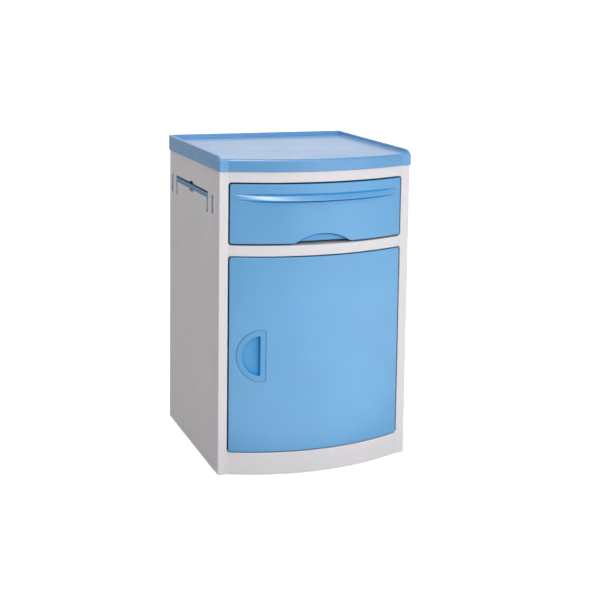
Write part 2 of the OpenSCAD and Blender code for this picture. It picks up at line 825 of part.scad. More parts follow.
module door_shell() {
    color(BLUE) difference() {
        union() {
            front_shell(door_x, door_f0, door_f1);
            for (t = door_screw_turn, z = door_screw_z) bow_boss(t, z, 5);
            for (z = [[door_f0, door_f0 + pin_engage + 2], [door_f1 - pin_engage - 2, door_f1]])
                intersection() {
                    translate([pivot_x, pivot_y, z[0]]) cylinder(r = bush_r + 2, h = z[1] - z[0]);
                    arc_disc(arc_r - 0.5, z[0] - 1, z[1] + 1);
                }
        }
        handle_prism(handle_r + handle_gap, handle_cut + handle_gap, 8, -10, 40);
        for (t = door_screw_turn, z = door_screw_z) bow_hole(t, z, front_screw_r + play, 14);
        for (z = [door_f0 - 1, door_f1 - pin_engage])
            translate([pivot_x, pivot_y, z]) cylinder(r = bush_r + play, h = pin_engage + 1);
    }
}

module door_backing() {
    inset = wall + 0.3;
    h = door_f1 - door_f0;
    color(WHITE) difference() {
        intersection() {
            curved_slab(back_r + sheet - 0.2, back_r, -door_x, door_x, door_f0, door_f1);
            along_y(-far / 2, side_y0)
                translate([0, door_f0 + h / 2]) rounded_rect(2 * (door_x - inset), h - 2 * inset, 2);
        }
        for (t = door_screw_turn, z = door_screw_z) bow_hole(t, z, front_screw_r + 0.2, far);
        on_bow(catch_turn, back_r - 2) for (s = [-1, 1])
            translate([s * 12, 0, catch_z0 + 8]) rotate([90, 0, 0]) cylinder(r = 1.2 + play, h = 9);
    }
}

// Finger cup: a flush bezel around a pocket that deepens towards its straight side
module door_handle_cup() {
    housing_r = pocket_r + 2;
    color(BLUE) difference() {
        union() {
            intersection() {
                handle_prism(handle_r, handle_cut, 8, -10, 40);
                curved_slab(arc_r + 0.3, arc_r - wall, -far, 0, door_f0, door_f1);
            }
            intersection() {
                handle_prism(housing_r, handle_cut - 0.5, 6, -10, 40);
                curved_slab(arc_r - 1, arc_r - front_t + sheet + 0.2, -far, 0, door_f0, door_f1);
            }
        }
        // the pocket's floor slopes from its round side down to its straight side
        on_bow(handle_turn, arc_r) translate([0, 0, handle_z]) intersection() {
            along_y(-10, pocket_depth) polygon(d_outline(pocket_r, pocket_cut, 2));
            translate([-pocket_r, 3, -far / 2]) rotate([0, 0, pocket_slope])
                translate([0, -far, 0]) cube([far, far, far]);
        }
        // finger space under the straight side
        on_bow(handle_turn, arc_r)
            translate([0, 0, handle_z])
                block([pocket_cut - 10, 4.5, -38], [handle_cut - 4, pocket_depth, 38]);
    }
}

module door_backing_screws() {
    color(STEEL) for (t = door_screw_turn, z = door_screw_z)
        on_bow(t, back_r - 0.1)
            translate([0, 0, z]) rotate([-90, 0, 0]) screw(front_screw_r, 10, 4, 2);
}

module strike_plate() {
    color(STEEL) on_bow(catch_turn, back_r) difference() {
        block([-17, strike_gap, catch_z0 + 1], [17, strike_t, catch_z0 + 15]);
        for (s = [-1, 1])
            translate([s * 12, -1, catch_z0 + 8]) rotate([-90, 0, 0]) {
                cylinder(r = 1.3, h = 9);
                translate([0, 0, 1.6]) cylinder(r = 2.6, h = 9);
            }
    }
}

module strike_screws() {
    color(STEEL) on_bow(catch_turn, back_r) for (s = [-1, 1])
        translate([s * 12, 0.7, catch_z0 + 8]) rotate([-90, 0, 0]) screw(1.2, 3, 2.3, 0.7);
}

module hinge_bush(z0) {
    color(WHITE) translate([pivot_x, pivot_y, z0]) difference() {
        cylinder(r = bush_r, h = pin_engage - 0.5);
        translate([0, 0, -1]) cylinder(r = pin_r + play, h = far);
    }
}

// ---------------------------------------------------------------- towel rail and hooks

// Folded rail on the left, in the side panel's frame: a bar on two legs
module towel_rail() {
    face = 0.3;
    t = 8.5;
    difference() {
        union() {
            block([face, side_mid_y - rail_len / 2, rail_top - rail_w],
                  [face + t, side_mid_y + rail_len / 2, rail_top]);
            at_rail_legs() {
                block([face, -rail_w / 2, 0], [face + t, rail_w / 2, rail_h - rail_w / 2 - 1]);
                translate([rail_in, 0, 0]) side_pin(rail_w / 2, rail_w);
            }
        }
        translate([rail_in, 0, 0]) at_rail_legs() side_pin(side_pin_r + play, far);
    }
}

// Folded hook on the left: a flat bar with a lip that turns up when it is folded out
module hook() {
    face = 0.3;
    top = hook_top - hook_pivot_z;
    lip = 6;
    x = hook_pivot_in;
    translate([0, hook_w / 2, 0]) rotate([90, 0, 0]) difference() {
        linear_extrude(hook_w) {
            polygon([[face, top], [face, 7], [x - 3.9, 0], [x + 3.9, 0], [face + 6, 9],
                     [face + 6, top - lip], [face + 12, top - lip], [face + 12, top]]);
            translate([x, 0]) circle(4);
        }
        translate([x, 0, -1]) cylinder(r = side_pin_r + play, h = hook_w + 2);
    }
}

module hook_at(s) {
    color(WHITE) translate([0, side_mid_y + s * hook_offset, hook_pivot_z]) hook();
}

module rail_pins() {
    color(STEEL) translate([rail_in, 0, 0]) at_rail_legs() side_pin(side_pin_r, rail_w + 9);
}

module hook_pins() {
    color(STEEL) translate([hook_pivot_in, 0, 0]) at_hooks() side_pin(side_pin_r, slot_w + 4);
}

// ---------------------------------------------------------------- nodes

top_panel();
front_frame();
color(WHITE) on_left() side_moulding();  // left_side_panel
color(WHITE) on_right() side_moulding();  // right_side_panel
color(WHITE) on_left() liner();  // left_liner_panel
color(WHITE) on_right() liner();  // right_liner_panel
back_panel();
base_panel();
divider_panel();
cupboard_shelf();
color(WHITE) mirrored_x() on_left() at_pegs() shelf_peg();  // shelf_pegs
color(WHITE) on_left() drawer_runner();  // left_drawer_runner
color(WHITE) on_right() drawer_runner();  // right_drawer_runner
color(STEEL) mirrored_x() on_left() at_runner_screws() runner_screw();  // runner_screws
drawer_buffers();
catch_housing();
catch_magnet();
catch_screws();
hinge_pin(door_f1 - pin_engage + 1);  // upper_hinge_pin
hinge_pin(door_z0 - pin_engage + 1);  // lower_hinge_pin
back_panel_screws();
top_panel_screws();
color(DARK) at_feet() foot_glide();  // foot_glides
glide_screws();
on_left() rail_pins();  // left_rail_pins
on_right() rail_pins();  // right_rail_pins
on_left() hook_pins();  // left_hook_pins
on_right() hook_pins();  // right_hook_pins
drawer_front();
drawer_front_backing();
drawer_tub();
color(WHITE) drawer_glide();  // left_drawer_glide
color(WHITE) mirror([1, 0, 0]) drawer_glide();  // right_drawer_glide
drawer_front_screws();
glide_strip_screws();
door_shell();
door_backing();
door_handle_cup();
door_backing_screws();
strike_plate();
strike_screws();
hinge_bush(door_f1 - pin_engage + 0.5);  // upper_hinge_bush
hinge_bush(door_f0);  // lower_hinge_bush
color(BLUE) on_left() towel_rail();  // left_towel_rail
color(BLUE) on_right() towel_rail();  // right_towel_rail
on_left() hook_at(-1);  // left_front_hook
on_left() hook_at(1);  // left_rear_hook
on_right() hook_at(-1);  // right_front_hook
on_right() hook_at(1);  // right_rear_hook
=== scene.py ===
"""Looks of the bedside cabinet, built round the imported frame. Metres, +X right, +Y back, +Z up."""

import json
import math

import bmesh
import bpy
from mathutils import Matrix, Vector


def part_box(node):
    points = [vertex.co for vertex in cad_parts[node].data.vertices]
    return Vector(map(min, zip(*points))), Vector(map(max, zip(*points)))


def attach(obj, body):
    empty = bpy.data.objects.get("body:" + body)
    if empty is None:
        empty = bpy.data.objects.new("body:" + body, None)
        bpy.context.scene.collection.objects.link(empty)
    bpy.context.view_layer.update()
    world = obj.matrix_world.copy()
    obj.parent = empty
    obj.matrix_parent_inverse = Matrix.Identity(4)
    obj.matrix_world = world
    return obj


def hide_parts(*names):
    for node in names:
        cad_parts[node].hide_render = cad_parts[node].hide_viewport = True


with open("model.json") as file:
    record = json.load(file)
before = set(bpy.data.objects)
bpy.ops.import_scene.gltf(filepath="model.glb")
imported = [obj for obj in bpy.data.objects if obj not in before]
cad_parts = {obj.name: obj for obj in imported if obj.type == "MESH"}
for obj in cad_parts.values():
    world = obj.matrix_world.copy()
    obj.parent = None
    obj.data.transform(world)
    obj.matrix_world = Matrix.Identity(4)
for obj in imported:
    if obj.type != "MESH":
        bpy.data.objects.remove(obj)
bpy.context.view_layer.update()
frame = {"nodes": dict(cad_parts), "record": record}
nodes = frame["nodes"]
MM = 0.001

# ---------------------------------------------------------------- sizes: the frame's boxes and what follows

F_LO, F_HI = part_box("front_frame")
T_LO, T_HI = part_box("top_panel")
D_LO, D_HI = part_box("door_shell")
W_LO, W_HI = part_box("drawer_front")
S_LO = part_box("left_side_panel")[0]
FRAME_DEPTH = 30 * MM            # from the front of the flat stiles to the side panels
STILE_W = 22 * MM                # width of a flat stile
FRONT_T = 20 * MM                # thickness of the frame's rails, the door and the drawer front
SHELL_T = 16 * MM                # share of it that the door's and the drawer's outer shells take
SKIN_GAP = 0.1 * MM              # between an outer shell and the moulding behind it
BODY_X = F_HI.x
FLAT_Y = S_LO.y - FRAME_DEPTH    # front of the flat stiles
CROWN_Y = F_LO.y                 # crown of the bow
ARC_X = BODY_X - STILE_W         # where the bow meets a stile
BULGE = FLAT_Y - CROWN_Y
ARC_R = (ARC_X ** 2 + BULGE ** 2) / (2 * BULGE)
ARC_CY = CROWN_Y + ARC_R
S_MAX = ARC_R * math.asin(ARC_X / ARC_R)    # length of the bow from its crown to a stile
GAP = ARC_X - D_HI.x             # round the door and the drawer front


def run(x):
    """Length along the bow from its crown out to x."""
    return ARC_R * math.asin(x / ARC_R)


def bow(s, d, z, back_shift=0.0):
    """Point on the front: s along the bow, d in from its surface, z up.

    Past the bow's end the stile runs flat, and its back stands further in by back_shift.
    """
    if abs(s) < S_MAX - 1e-6:
        a = s / ARC_R
        return Vector(((ARC_R - d) * math.sin(a), ARC_CY - (ARC_R - d) * math.cos(a), z))
    extra = back_shift if d > FRONT_T / 2 else 0.0
    return Vector((math.copysign(ARC_X + abs(s) - S_MAX, s), FLAT_Y + d + extra, z))


# ---------------------------------------------------------------- materials

def new_material(name):
    m = bpy.data.materials.new(name)
    m.use_nodes = True
    m.node_tree.nodes.clear()
    return m


class Graph:
    """Short-hand for building a node tree."""

    def __init__(self, material):
        self.t = material.node_tree

    def node(self, kind, **values):
        n = self.t.nodes.new(kind)
        for k, v in values.items():
            setattr(n, k, v)
        return n

    def link(self, a, b):
        self.t.links.new(a, b)

    def noise(self, vec, scale, detail=2.0, rough=0.5):
        n = self.node("ShaderNodeTexNoise")
        n.inputs["Scale"].default_value = scale
        n.inputs["Detail"].default_value = detail
        n.inputs["Roughness"].default_value = rough
        self.link(vec, n.inputs["Vector"])
        return n.outputs["Fac"]

    def ramp(self, fac, stops):
        n = self.node("ShaderNodeValToRGB")
        while len(n.color_ramp.elements) < len(stops):
            n.color_ramp.elements.new(0.5)
        for e, (p, c) in zip(n.color_ramp.elements, stops):
            e.position = p
            e.color = (*c, 1)
        self.link(fac, n.inputs["Fac"])
        return n.outputs["Color"]

    def map_range(self, v, a, b, c, d):
        n = self.node("ShaderNodeMapRange")
        for k, x in zip(("From Min", "From Max", "To Min", "To Max"), (a, b, c, d)):
            n.inputs[k].default_value = x
        self.link(v, n.inputs["Value"])
        return n.outputs["Result"]

    def bump(self, height, strength, distance, normal=None):
        n = self.node("ShaderNodeBump")
        n.inputs["Strength"].default_value = strength
        n.inputs["Distance"].default_value = distance
        self.link(height, n.inputs["Height"])
        if normal:
            self.link(normal, n.inputs["Normal"])
        return n.outputs["Normal"]

    def math(self, op, a, b):
        n = self.node("ShaderNodeMath", operation=op)
        for i, x in enumerate((a, b)):
            if isinstance(x, (int, float)):
                n.inputs[i].default_value = x
            else:
                self.link(x, n.inputs[i])
        return n.outputs[0]


def shade(c, k):
    return tuple(min(1.0, x * k) for x in c)


# Noise scales, in features per metre
CLOUDS, STREAKS, WAVES, PATCHES, SMUDGES, FLECKS, GRAIN = 5.0, 9.0, 16.0, 38.0, 160.0, 420.0, 1400.0
TARNISH, TURNED_LINES, DUST, COARSE_GRAIN = 60.0, 900.0, 220.0, 900.0
EDGE_WEAR = 0.10                 # how far a worn edge goes to its lighter colour
# Painted shade: tints multiplied into a colour in its corners, grooves, gaps and recesses, the deepest first
GREY_PAINTED_SHADE = ((0.65, 0.65, 0.67), (0.90, 0.90, 0.91))
BLUE_PAINTED_SHADE = ((0.0, 0.84, 0.96), (0.46, 0.77, 0.87))


def plastic(name, color, rough=0.38, grain=0.25, tint=0.06, coat=0.0, speck=0.18, spec=0.5,
            painted_shade=GREY_PAINTED_SHADE, reach=0.026, shade_levels=(0.45, 0.80, 0.97), self_shade_only=False):
    """Moulded ABS: flow marks in the colour, fine spark-eroded grain, worn light edges, uneven sheen, and
    shade painted into its corners.

    tint and speck are the strengths of the flow marks and of the pigment's fleck. cavity holds the painted
    shade: the tints multiplied in at the deepest corners and at the shallower ones. reach is how far from a
    corner the painted shade begins, and levels are how open a place is at each tint and at none. With local
    set, only the piece itself makes corners.
    """
    m = new_material(name)
    g = Graph(m)
    out = g.node("ShaderNodeOutputMaterial")
    p = g.node("ShaderNodeBsdfPrincipled")
    g.link(p.outputs[0], out.inputs["Surface"])
    obj = g.node("ShaderNodeTexCoord").outputs["Object"]
    # colour: broad flow clouds, then fine pigment speckle
    cloud = g.noise(obj, CLOUDS, 3.0, 0.6)
    fleck = g.noise(obj, FLECKS, 2.0, 0.7)
    base = g.ramp(cloud, [(0.30, shade(color, 1 - tint)), (0.70, shade(color, 1 + tint * 0.6))])
    mix = g.node("ShaderNodeMix", data_type="RGBA", blend_type="MULTIPLY")
    mix.inputs["Factor"].default_value = speck
    g.link(base, mix.inputs["A"])
    g.link(g.ramp(fleck, [(0.35, (0.90, 0.90, 0.91)), (0.65, (1.0, 1.0, 1.0))]), mix.inputs["B"])
    # wear: raised edges are a little paler, in patches
    geo = g.node("ShaderNodeNewGeometry")
    edge = g.map_range(geo.outputs["Pointiness"], 0.50, 0.58, 0.0, 1.0)
    patchy = g.map_range(g.noise(obj, PATCHES, 4.0, 0.65), 0.40, 0.75, 0.0, EDGE_WEAR)
    amount = g.math("MULTIPLY", edge, patchy)
    worn = g.node("ShaderNodeMix", data_type="RGBA")
    g.link(amount, worn.inputs["Factor"])
    g.link(mix.outputs["Result"], worn.inputs["A"])
    worn.inputs["B"].default_value = (*[min(1.0, 0.55 + 0.5 * x) for x in color], 1)
    # painted shade: where ambient occlusion finds a groove, recess or gap, the colour is darkened and
    # deepened
    ao = g.node("ShaderNodeAmbientOcclusion")
    ao.samples = 8
    ao.only_local = self_shade_only
    ao.inputs["Distance"].default_value = reach
    painted_shade_mix = g.node("ShaderNodeMix", data_type="RGBA", blend_type="MULTIPLY")
    painted_shade_mix.inputs["Factor"].default_value = 1.0
    g.link(worn.outputs["Result"], painted_shade_mix.inputs["A"])
    stops = list(zip(shade_levels, (*painted_shade, (1, 1, 1))))
    g.link(g.ramp(ao.outputs["AO"], stops), painted_shade_mix.inputs["B"])
    g.link(painted_shade_mix.outputs["Result"], p.inputs["Base Color"])
    # sheen: handled areas and flow lines differ slightly in gloss
    r1 = g.map_range(g.noise(obj, STREAKS, 4.0, 0.6), 0.3, 0.7, rough - 0.04, rough + 0.06)
    r2 = g.map_range(g.noise(obj, SMUDGES, 3.0, 0.6), 0.3, 0.7, -0.015, 0.02)
    g.link(g.math("ADD", r1, r2), p.inputs["Roughness"])
    # bump: mould grain over the slight waviness of a large moulding
    fine = g.bump(g.noise(obj, GRAIN, 2.0, 0.5), grain, 0.12 * MM)
    wavy = g.bump(g.noise(obj, WAVES, 1.0, 0.4), 0.35, 0.6 * MM, fine)
    g.link(wavy, p.inputs["Normal"])
    p.inputs["Specular IOR Level"].default_value = spec
    p.inputs["Coat Weight"].default_value = coat
    p.inputs["Coat Roughness"].default_value = 0.12
    return m


def metal(name, color, rough=0.32):
    """Plated steel: fine turned lines and patchy gloss."""
    m = new_material(name)
    g = Graph(m)
    out = g.node("ShaderNodeOutputMaterial")
    p = g.node("ShaderNodeBsdfPrincipled")
    g.link(p.outputs[0], out.inputs["Surface"])
    obj = g.node("ShaderNodeTexCoord").outputs["Object"]
    stretch = g.node("ShaderNodeMapping")
    stretch.inputs["Scale"].default_value = (1, 1, 30)
    g.link(obj, stretch.inputs["Vector"])
    lines = g.noise(stretch.outputs[0], TURNED_LINES, 3.0, 0.6)
    cloud = g.noise(obj, TARNISH, 3.0, 0.6)
    g.link(g.ramp(cloud, [(0.3, shade(color, 0.85)), (0.7, color)]), p.inputs["Base Color"])
    g.link(g.map_range(lines, 0.3, 0.7, rough - 0.08, rough + 0.1), p.inputs["Roughness"])
    g.link(g.bump(lines, 0.2, 0.1 * MM), p.inputs["Normal"])
    p.inputs["Metallic"].default_value = 1.0
    return m


def rubber(name, color):
    """Dull rubber or ferrite: dusty speckle, high roughness, coarse grain."""
    m = new_material(name)
    g = Graph(m)
    out = g.node("ShaderNodeOutputMaterial")
    p = g.node("ShaderNodeBsdfPrincipled")
    g.link(p.outputs[0], out.inputs["Surface"])
    obj = g.node("ShaderNodeTexCoord").outputs["Object"]
    dust = g.noise(obj, DUST, 4.0, 0.7)
    g.link(g.ramp(dust, [(0.45, color), (0.75, shade(color, 1.8))]), p.inputs["Base Color"])
    g.link(g.map_range(dust, 0.3, 0.7, 0.7, 0.9), p.inputs["Roughness"])
    g.link(g.bump(g.noise(obj, COARSE_GRAIN, 2.0, 0.5), 0.4, 0.2 * MM), p.inputs["Normal"])
    return m


FRONT_BLUE = (0.098, 0.375, 0.70)
# The cavity tints below are painted shade: they darken each material where its corners, gaps and recesses
# block the light
MATS = {
    "blue_top": plastic("top_abs", (0.108, 0.352, 0.68), rough=0.35, grain=0.03, coat=0.26, speck=0.04,
                        painted_shade=((0.85, 0.92, 0.95), (1.0, 1.0, 1.0))),
    "blue_front": plastic("front_abs", FRONT_BLUE, grain=0.15, spec=0.75,
                          painted_shade=BLUE_PAINTED_SHADE, reach=0.06),
    "blue_cup": plastic("cup_abs", FRONT_BLUE, grain=0.15, spec=0.52,
                        painted_shade=((0.0, 0.94, 1.04), BLUE_PAINTED_SHADE[1]), reach=0.07, shade_levels=(0.64, 0.90, 0.99)),
    "blue_rail": plastic("rail_abs", (0.105, 0.300, 0.54),
                         painted_shade=((0.30, 0.38, 0.45), (0.75, 0.80, 0.86))),
    "white_shell": plastic("shell_abs", (0.80, 0.775, 0.80), rough=0.46, grain=0.35, tint=0.03,
                           painted_shade=((0.45, 0.62, 0.78), (0.90, 0.91, 0.94)), self_shade_only=True),
    "white_inner": plastic("inner_abs", (0.78, 0.78, 0.79), rough=0.45, grain=0.20, tint=0.03),
    "natural_slide": plastic("slide_acetal", (0.72, 0.70, 0.62), rough=0.35, grain=0.15),
    "zinc_screw": metal("zinc_plate", (0.62, 0.63, 0.64)),
    "steel_pin": metal("plain_steel", (0.56, 0.57, 0.59), 0.28),
    "black_rubber": rubber("black_rubber", (0.03, 0.03, 0.032)),
    "ferrite": rubber("ferrite", (0.05, 0.05, 0.055)),
}
SLOT_OF = {s["node"]: s["material_slot"] for s in frame["record"]["subparts"]}

# ---------------------------------------------------------------- mesh helpers


def smooth_mesh(me, angle=32.0):
    """Smooth shading with crisp edges above the angle."""
    bm = bmesh.new()
    bm.from_mesh(me)
    limit = math.radians(angle)
    for f in bm.faces:
        f.smooth = True
    for e in bm.edges:
        e.smooth = len(e.link_faces) == 2 and e.calc_face_angle(0.0) < limit
    bm.to_mesh(me)
    bm.free()


def piece(name, me, body, slot, *stands_for, angle=32.0, look=None):
    """Makes a finished piece from a mesh: shading, the material of its slot or look, its body, and hides the
    nodes it stands for.
    """
    me.name = name
    smooth_mesh(me, angle)
    o = bpy.data.objects.new(name, me)
    bpy.context.scene.collection.objects.link(o)
    me.materials.clear()
    me.materials.append(MATS[look or slot])
    w = o.modifiers.new("normals", "WEIGHTED_NORMAL")
    w.keep_sharp = True
    w.weight = 60
    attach(o, body)
    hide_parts(*stands_for)


def rounded_outline(x0, y0, x1, y1, r, steps=6):
    """Closed outline of a rectangle with rounded corners, anticlockwise from its upper right."""
    corners = ((x1 - r, y1 - r, 0), (x0 + r, y1 - r, 90), (x0 + r, y0 + r, 180), (x1 - r, y0 + r, 270))
    pts = []
    for cx, cy, a0 in corners:
        for i in range(steps + 1):
            a = math.radians(a0 + 90 * i / steps)
            pts.append((cx + r * math.cos(a), cy + r * math.sin(a)))
    return pts


def plate(loops, depth, bevel, res=3):
    """Flat plate with bevelled edges from closed outlines in (s, z).

    The mesh has x = s, y = z, and z = the depth, which is 0 at the front.
    """
    cu = bpy.data.curves.new("plate", "CURVE")
    cu.dimensions = "2D"
    cu.fill_mode = "BOTH"
    cu.bevel_depth = bevel
    cu.bevel_resolution = res
    cu.extrude = depth / 2 - bevel
    cu.offset = -bevel
    for loop in loops:
        sp = cu.splines.new("POLY")
        sp.points.add(len(loop) - 1)
        for p, (x, y) in zip(sp.points, loop):
            p.co = (x, y, 0, 1)
        sp.use_cyclic_u = True
    o = bpy.data.objects.new("plate", cu)
    bpy.context.scene.collection.objects.link(o)
    bpy.context.view_layer.update()
    me = bpy.data.meshes.new_from_object(o)
    bpy.data.objects.remove(o)
    bpy.data.curves.remove(cu)
    bm = bmesh.new()
    bm.from_mesh(me)
    bmesh.ops.remove_doubles(bm, verts=bm.verts, dist=1e-6)
    for v in bm.verts:
        v.co.z = depth / 2 - v.co.z
    bmesh.ops.recalc_face_normals(bm, faces=bm.faces)
    bpy.data.meshes.remove(me)
    return bm


def slice_mesh(bm, axis, values):
    """Cuts the mesh along planes, so that it can bend there."""
    no = Vector((1, 0, 0)) if axis == 0 else Vector((0, 1, 0))
    for v in values:
        geom = bm.verts[:] + bm.edges[:] + bm.faces[:]
        bmesh.ops.bisect_plane(bm, geom=geom, dist=1e-7, plane_co=no * v, plane_no=no)


def steps_between(a, b, step):
    """Places that divide the way from a to b into equal lengths of about one step."""
    n = max(1, round((b - a) / step))
    return [a + (b - a) * i / n for i in range(1, n)]


def bend(bm, back_shift=0.0, relief=None):
    """Lays a flat plate on the bow. relief(s, z, d) gives a new (s, z, d) first."""
    for v in bm.verts:
        s, z, d = v.co.x, v.co.y, v.co.z
        if relief:
            s, z, d = relief(s, z, d)
        v.co = bow(s, d, z, back_shift)
    bmesh.ops.recalc_face_normals(bm, faces=bm.faces)


def merge(bm, other):
    """Adds another mesh as a loose part."""
    me = bpy.data.meshes.new("part")
    other.to_mesh(me)
    other.free()
    bm.from_mesh(me)
    bpy.data.meshes.remove(me)


def to_mesh(bm):
    me = bpy.data.meshes.new("mesh")
    bm.to_mesh(me)
    bm.free()
    return me


# ---------------------------------------------------------------- front frame

OPEN_R = 6 * MM                  # corners of both openings
DOOR_OPEN = (D_LO.z - GAP, D_HI.z + GAP)
DRAWER_OPEN = (W_LO.z - GAP, W_HI.z + GAP)
LEDGE_T, LEDGE_RUN = 3 * MM, 22 * MM
LEDGE_IN = 40 * MM               # how far each end of the ledge stays from the opening's side


def build_frame():
    half = S_MAX + STILE_W
    loops = [rounded_outline(-half, F_LO.z, half, F_HI.z, 2.0 * MM, 4)]
    for z0, z1 in (DOOR_OPEN, DRAWER_OPEN):
        loops.append(rounded_outline(-S_MAX, z0, S_MAX, z1, OPEN_R))
    bm = plate(loops, FRONT_T, 1.6 * MM)
    slice_mesh(bm, 0, [-S_MAX + 1e-7] + steps_between(-S_MAX, S_MAX, 7 * MM) + [S_MAX - 1e-7])
    bend(bm, back_shift=FRAME_DEPTH - FRONT_T)
    # ledge behind the mid rail, level with its top and let 1 mm into it
    end, top, bite = run(ARC_X - LEDGE_IN), DRAWER_OPEN[0], 1 * MM
    outline = rounded_outline(-end, top - LEDGE_T, end, top, 0.6 * MM, 2)
    ledge = plate([outline], LEDGE_RUN + bite, 0.5 * MM, 2)
    slice_mesh(ledge, 0, steps_between(-end, end, 9 * MM))
    bend(ledge, relief=lambda s, z, d: (s, z, d + FRONT_T - bite))
    merge(bm, ledge)
    piece("front_frame_moulding", to_mesh(bm), "cabinet", "white_shell", "front_frame")


build_frame()

# ---------------------------------------------------------------- lofting and easing


def loft(bm, rings):
    """Closed skin over rings of points that all have the same count, capped at both ends."""
    rows = [[bm.verts.new(p) for p in ring] for ring in rings]
    n = len(rows[0])
    for a, b in zip(rows, rows[1:]):
        for i in range(n):
            j = (i + 1) % n
            bm.faces.new((a[i], a[j], b[j], b[i]))
    bm.faces.new(rows[0][::-1])
    bm.faces.new(rows[-1])


def ease(t):
    t = max(0.0, min(1.0, t))
    return t * t * (3 - 2 * t)


# ---------------------------------------------------------------- top panel

RIM_T, RIM_H = 6.5 * MM, 10 * MM
RIM_R = 2.2 * MM                 # rounding along the rim's top
RIM_FOOT_R = 2.5 * MM            # fillet between the rim and the tray
RIM_RUN = 22 * MM                # length of each rounded end of the rim
RIM_FALL = 0.2                   # share of its height that the rim loses on its way to the front
EDGE_R = 5 * MM                  # rounding along the tray's open front
CORNER_R = 4.5 * MM              # corners of the top, seen from above
TOP_WALL = 3 * MM
TRAY_Z = T_HI.z - RIM_H
TOP_OVER = CROWN_Y - T_LO.y      # how far the top stands past the front


def plan_ring(o):
    """Spokes of the top's plan, stepped in by o: (x, y, share of the rim's height)."""
    hw, yb = T_HI.x - o, T_HI.y - o
    yf, ra = FLAT_Y - TOP_OVER + o, ARC_R + TOP_OVER - o
    rf, rb = max(CORNER_R - 0.4 * o, CORNER_R / 5), CORNER_R
    y_full = FLAT_Y + 4 * MM + RIM_RUN
    low = 1 - RIM_FALL
    xc = math.sqrt(ra ** 2 - (ARC_CY - yf) ** 2)
    a0 = math.asin(xc / ra)
    half = []
    for i in range(33):
        a = a0 * i / 32
        half.append((ra * math.sin(a), ARC_CY - ra * math.cos(a), 0.0))
    for t in (0.12, 0.5, 0.88):
        half.append((xc + (hw - rf - xc) * t, yf, 0.0))
    for i in range(7):
        a = math.radians(-90 + 15 * i)
        half.append((hw - rf + rf * math.cos(a), yf + rf + rf * math.sin(a), 0.0))
    y0_outer = FLAT_Y - TOP_OVER + CORNER_R
    for i in range(1, 15):
        y_ref = y0_outer + (y_full - y0_outer) * i / 14
        y = yf + rf + (y_full - yf - rf) * i / 14
        u = (y_full - y_ref) / RIM_RUN
        half.append((hw, y, low * math.sqrt(1 - u * u) if u < 1 else 0.0))
    for i in range(1, 13):
        half.append((hw, y_full + (yb - rb - y_full) * i / 12, low + RIM_FALL * i / 12))
    for i in range(1, 7):
        a = math.radians(15 * i)
        half.append((hw - rb + rb * math.cos(a), yb - rb + rb * math.sin(a), 1.0))
    for i in range(1, 9):
        half.append(((hw - rb) * (1 - i / 8), yb, 1.0))
    return half + [(-x, y, w) for x, y, w in half[-2:0:-1]]


def rim_height(o):
    """Height over the rim and its fillet, o in from the top's outside."""
    r, foot = RIM_R, RIM_FOOT_R
    if o < r:
        return T_HI.z - r + math.sqrt(r * r - (r - o) ** 2)
    if o <= RIM_T - r:
        return T_HI.z
    if o < RIM_T:
        return T_HI.z - r + math.sqrt(max(0.0, r * r - (o - RIM_T + r) ** 2))
    return TRAY_Z + foot - math.sqrt(max(0.0, foot * foot - (RIM_T + foot - o) ** 2))


def edge_height(o):
    """Height over the rounded front edge, where there is no rim."""
    return TRAY_Z if o >= EDGE_R else TRAY_Z - EDGE_R + math.sqrt(EDGE_R ** 2 - (EDGE_R - o) ** 2)


def build_top():
    bm = bmesh.new()
    # each ring: how far in, its height where there is no rim, and its height where the rim is full
    hem, under = T_LO.z + 0.6 * MM, TRAY_Z - TOP_WALL
    profile = [(TOP_WALL, under, under), (TOP_WALL, T_LO.z, T_LO.z), (0.6 * MM, T_LO.z, T_LO.z),
               (0.0, hem, hem), (0.0, TRAY_Z - EDGE_R, T_HI.z - RIM_R)]
    for o in (0.1, 0.35, 0.8, 1.4, 2.2, 3.2, 4.3, 5.3, 6.0, 6.35):
        profile.append((o * MM, edge_height(o * MM), rim_height(o * MM)))
    profile += [(RIM_T, TRAY_Z, T_HI.z - RIM_R), (RIM_T, TRAY_Z, TRAY_Z + RIM_FOOT_R)]
    for o in (6.6, 7.0, 7.7, 9.0):
        profile.append((o * MM, TRAY_Z, rim_height(o * MM)))
    rings = []
    for o, z_edge, z_rim in profile:
        rings.append([Vector((x, y, z_edge + (z_rim - z_edge) * w)) for x, y, w in plan_ring(o)])
    loft(bm, rings)
    slice_mesh(bm, 0, steps_between(-T_HI.x, T_HI.x, 30 * MM))
    slice_mesh(bm, 1, steps_between(T_LO.y, T_HI.y, 30 * MM))
    bmesh.ops.recalc_face_normals(bm, faces=bm.faces)
    piece("top_tray", to_mesh(bm), "cabinet", "blue_top", "top_panel")


build_top()

# ---------------------------------------------------------------- door and its hand cup

H_LO, H_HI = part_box("door_handle_cup")
CUP_Z = (H_LO.z + H_HI.z) / 2
CUP_R = (H_HI.z - H_LO.z) / 2
CUP_S = run(-141 * MM)           # centre of the cup's circle along the bow
CUP_CUT, CUP_CORNER = 7 * MM, 8 * MM        # the straight side, right of the centre, and its corners
MOUTH_R, MOUTH_CUT, MOUTH_CORNER = 48 * MM, -6 * MM, 2.5 * MM
TUB_R, TUB_CUT, TUB_CORNER, TUB_D = 50.5 * MM, 6.2 * MM, 6 * MM, 15.2 * MM    # its body inside the door
FLANGE_D = 3 * MM                # how far in the flange's back is
UNDERCUT = 6 * MM                # of the straight side, for the fingertips


